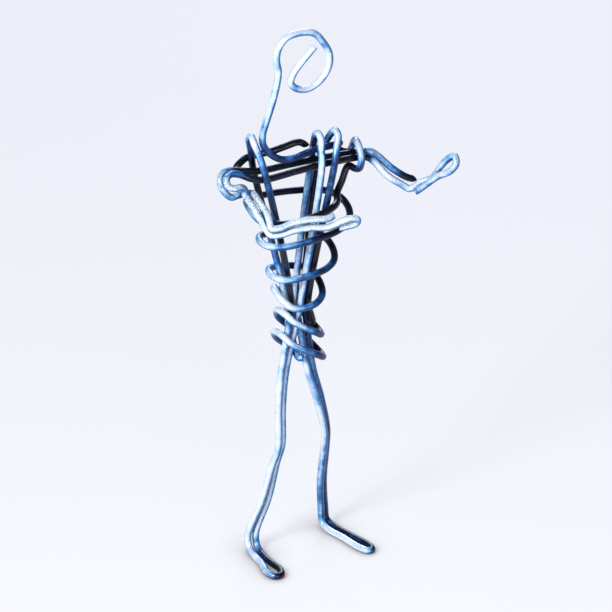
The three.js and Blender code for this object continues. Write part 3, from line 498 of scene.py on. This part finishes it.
headAndBindingWire = [
    {"name": "head_loop", "bend": "neck", "nodes": ["head_wire"],
     "tarnishAndShade": (0.05, 0.05, 0, 0.05, 0.05, 0.15, 0.35), "pitting": 0.25,
     "route": [(-2.06, 3.47, 117.94), (-7.08, 3.47, 112.67), (-7.7, 3.47, 110.65), (-6.4, 3.47, 109.03),
               (-3.61, 3.47, 108.35), (-0.51, 3.47, 109.84), (1.23, 3.47, 112.54), (1.35, 3.47, 115.24),
               (0.11, 3.47, 117.94), (-2.37, 3.47, 120.97), (-6.09, 3.47, 121.85), (-8.94, 3.47, 121.31),
               (-10.61, 3.47, 119.29), (-11.05, 3.47, 116.79), (-10.61, 3.47, 113.75), (-11.67, 3.47, 108.3),
               (-13.65, 3.47, 102.4), (-14.35, 3.47, 100), (-14.15, 3.47, 97.6)]},
    {"name": "neck_and_lead", "body": "torso", "nodes": ["neck_wire"],
     "tarnishAndShade": (0.35, 0.5, 0.6, 0.6, 0.8, 0.7, 0.2, 0.25, 0.25, 0.7, 0.9, 0.9, 0.95, 0.95, 0.5), "pitting": 0.25,
     "route": [(-14.15, 3.47, 97.6), (-12.55, 3.37, 95.2), (-10.15, 3.17, 93.5), (-7.75, 3.07, 93.1),
               (-4.75, 3.17, 93.4), (-2.05, 3.47, 93.7), (2.15, 3.57, 93.6), (3.35, 3.67, 93.6),
               (4.25, 4.37, 93.3), (4.55, 6.52, 91.5), (6.25, 6.82, 89.7), (7.85, 6.72, 89.4), (8.35, 6.52, 90.7),
               (8.15, 5.02, 92.7), (7.75, 3.47, 93.2), (7.45, 1.52, 92.4), (7.25, 0.32, 90.8), (7.15, 0.42, 89.3),
               (7.15, 1.22, 88), (6.85, 2.52, 87.5), (5.95, 3.72, 87.8), (4.15, 3.22, 84.9), (2.55, 2.32, 82.9),
               (1.45, 0.22, 82.1), (-0.35, -1.31, 81.9), (-3.15, -1.61, 81.2), (-8.15, -1.61, 80.7),
               (-13.15, -1.61, 81.2), (-16.95, -0.31, 82.4)]},
    {"name": "torso_winding", "body": "torso", "nodes": ["torso_binding"],
     "tarnishAndShade": (0.4, 0.8, 0.75, 0.8, 0.25, 0.6, 0.95, 0.6, 0.08, 0.5, 0.98, 0.4, 0, 0.5, 0.95, 0.22, 0, 0.5, 0.85,
                 0.25, 0.05, 0.4),
     "pitting": 0.25,
     "route": [(-16.95, -0.31, 82.4)] + bindingRun},
]

shoulderTieWire = [
    {"name": "right_shoulder_tie_wire", "body": "torso", "nodes": ["right_shoulder_tie"],
     "tarnishAndShade": (0.85, 0.95, 0.95, 0.9), "pitting": 0.25,
     "route": [(-18.45, 7.62, 90), (-18.35, 7.52, 91.6), (-17.15, 7.82, 92.4), (-15.55, 8.32, 92.8),
               (-13.35, 7.17, 93.6), (-11.15, 5.57, 94.5), (-7.95, 5.07, 95.2), (-5.25, 4.77, 95.6),
               (-3.15, 5.07, 94.2)]},
]

allPieces = []
for wireName, pieces in (("front arm wire", frontArmWire), ("back arm wire", backArmWire),
                         ("trunk and leg wire", trunkAndLegWire), ("head and binding wire", headAndBindingWire),
                         ("shoulder tie", shoulderTieWire)):
    allPieces += bendWire(wireName, pieces)

for piece, plan in allPieces:
    if plan["nodes"]:
        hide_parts(*plan["nodes"])
    if "body" in plan:
        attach(piece, plan["body"])
    else:
        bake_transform(piece)
print(len(allPieces), "pieces ride on the frame")


# Floor: matt pale card, which the light alone would leave grey, so the camera and the metal see its pale tone.
# That glow stands for even light from all round, so it is shaded close to what lies on the card
floorLook = {
    "near": "#F4F3F4", "far": "#E5E2E4", "nearEdge": -50.0, "farEdge": 260.0,  # mm, between these its tone falls
    "shade": "#A3958A", "shadeReach": 9.0,  # mm
    "shut": 0.55,  # how open the card is where the shade is full
    "matt": "#8C8E91", "glow": 0.765,
    "half": 3000.0, "below": 0.02,  # mm
}


def makeFloor():
    look = floorLook
    mesh = bpy.data.meshes.new("floor")
    half, level = look["half"] * mm, -look["below"] * mm
    corners = [(-half, -half, level), (half, -half, level), (half, half, level), (-half, half, level)]
    mesh.from_pydata(corners, [], [(0, 1, 2, 3)])
    floor = bpy.data.objects.new("floor", mesh)
    bpy.context.collection.objects.link(floor)
    material = bpy.data.materials.new("mattPaleCard")
    material.use_nodes = True
    tree = material.node_tree
    tree.nodes.clear()
    spot = addNode(tree, "ShaderNodeSeparateXYZ", {0: addNode(tree, "ShaderNodeTexCoord").outputs["Object"]}).outputs
    depth = addNode(tree, "ShaderNodeMapRange", {"Value": spot["Y"], "From Min": look["nearEdge"] * mm,
                                                 "From Max": look["farEdge"] * mm}).outputs[0]
    tone = addNode(tree, "ShaderNodeMix", {"Factor": depth, 6: hexColour(look["near"]), 7: hexColour(look["far"])},
                   data_type="RGBA").outputs[2]
    openness = addNode(tree, "ShaderNodeAmbientOcclusion", {"Distance": look["shadeReach"] * mm},
                       samples=8).outputs["AO"]
    openness = addNode(tree, "ShaderNodeMapRange", {"Value": openness, "From Min": look["shut"]}).outputs[0]
    tone = addNode(tree, "ShaderNodeMix", {"Factor": openness, 6: hexColour(look["shade"]), 7: tone},
                   data_type="RGBA").outputs[2]
    rays = addNode(tree, "ShaderNodeLightPath").outputs
    seen = rays["Is Camera Ray"]
    for other in ("Is Glossy Ray", "Is Transmission Ray"):
        seen = addNode(tree, "ShaderNodeMath", {0: seen, 1: rays[other]}, operation="MAXIMUM").outputs[0]
    glow = addNode(tree, "ShaderNodeMath", {0: seen, 1: look["glow"]}, operation="MULTIPLY").outputs[0]
    matt = addNode(tree, "ShaderNodeBsdfDiffuse", {"Color": hexColour(look["matt"])}).outputs[0]
    light = addNode(tree, "ShaderNodeEmission", {"Color": tone, "Strength": glow}).outputs[0]
    both = addNode(tree, "ShaderNodeAddShader", {0: matt, 1: light}).outputs[0]
    addNode(tree, "ShaderNodeOutputMaterial", {"Surface": both})
    mesh.materials.append(material)


makeFloor()


# Camera: a long lens from the front and the figure's right, looking down at it. Lengths are in millimetres
cameraPlan = {"aim": (-4.15, 3.47, 57.39), "from": (-0.414, -0.780, 0.469), "distance": 6000.0, "frame": 127.48,
              "sensor": 36.0, "clip": (10.0, 20000.0)}


def makeCamera():
    plan = cameraPlan
    lens = bpy.data.cameras.new("camera")
    lens.sensor_width = plan["sensor"]
    lens.lens = plan["sensor"] * plan["distance"] / plan["frame"]
    lens.clip_start, lens.clip_end = (edge * mm for edge in plan["clip"])
    camera = bpy.data.objects.new("camera", lens)
    bpy.context.collection.objects.link(camera)
    towards = Vector(plan["from"]).normalized()
    camera.location = (Vector(plan["aim"]) + towards * plan["distance"]) * mm
    camera.rotation_euler = towards.to_track_quat("Z", "Y").to_euler()
    bpy.context.scene.camera = camera


makeCamera()

# Lamps, in millimetres: a wide soft one high on the left, fainter ones in front and behind, and a pale blue room
lampPlan = [
    {"name": "softKey", "at": (-600, -250, 440), "size": 240, "watts": 5.6, "colour": "#FFFFFF"},
    {"name": "softFront", "at": (-150, -620, 250), "size": 300, "watts": 1.8, "colour": "#D6E4FF"},
    {"name": "softBack", "at": (250, 470, 330), "size": 300, "watts": 1.7, "colour": "#E4EDFF"},
]
roomLight = {"colour": "#B0CEF5", "strength": 0.35}


def makeLamps():
    for plan in lampPlan:
        light = bpy.data.lights.new(plan["name"], "AREA")
        light.shape = "DISK"
        light.size = plan["size"] * mm
        light.energy = plan["watts"]
        light.color = hexColour(plan["colour"])[:3]
        lamp = bpy.data.objects.new(plan["name"], light)
        bpy.context.collection.objects.link(lamp)
        lamp.location = Vector(plan["at"]) * mm
        lamp.rotation_euler = (Vector(plan["at"]) - Vector(cameraPlan["aim"])).to_track_quat("Z", "Y").to_euler()
    world = bpy.data.worlds.new("studio")
    world.use_nodes = True
    room = world.node_tree.nodes["Background"].inputs
    room["Color"].default_value = hexColour(roomLight["colour"])
    room["Strength"].default_value = roomLight["strength"]
    bpy.context.scene.world = world


makeLamps()
bpy.context.scene.view_settings.view_transform = "Standard"
print("floor, camera and lamps set")
